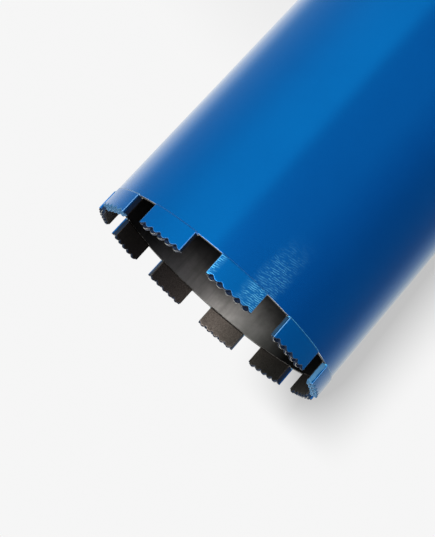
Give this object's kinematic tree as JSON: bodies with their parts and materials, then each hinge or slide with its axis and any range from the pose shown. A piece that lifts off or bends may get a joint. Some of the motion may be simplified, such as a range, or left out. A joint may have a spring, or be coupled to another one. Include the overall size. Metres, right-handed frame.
{
  "type": "diamond core bit",
  "caption": "Wet diamond core bit: thin steel barrel with a crown of toothed diamond segments, closed by a back plate and a threaded hub.",
  "frame": {"origin": "centre of the hub's end face, at the base of the standing bit", "axes": "+Z along the barrel from the hub to the crown; -Y at the middle of segment_01; wrench flats face +X and -X"},
  "size_m": [0.132, 0.1316, 0.5],
  "materials": {
    "barrel_paint": "glossy blue paint outside, dark bare steel inside",
    "segment_paint": "thin blue paint over a sintered metal bond",
    "plate_paint": "glossy blue paint",
    "hub_steel": "turned steel"
  },
  "bodies": {
    "root": {"barrel": "barrel_paint", "segment_01": "segment_paint", "segment_02": "segment_paint", "segment_03": "segment_paint", "segment_04": "segment_paint", "segment_05": "segment_paint", "segment_06": "segment_paint", "segment_07": "segment_paint", "segment_08": "segment_paint", "segment_09": "segment_paint", "segment_10": "segment_paint", "segment_11": "segment_paint", "back_plate": "plate_paint", "hub": "hub_steel"}
  },
  "joints": []
}
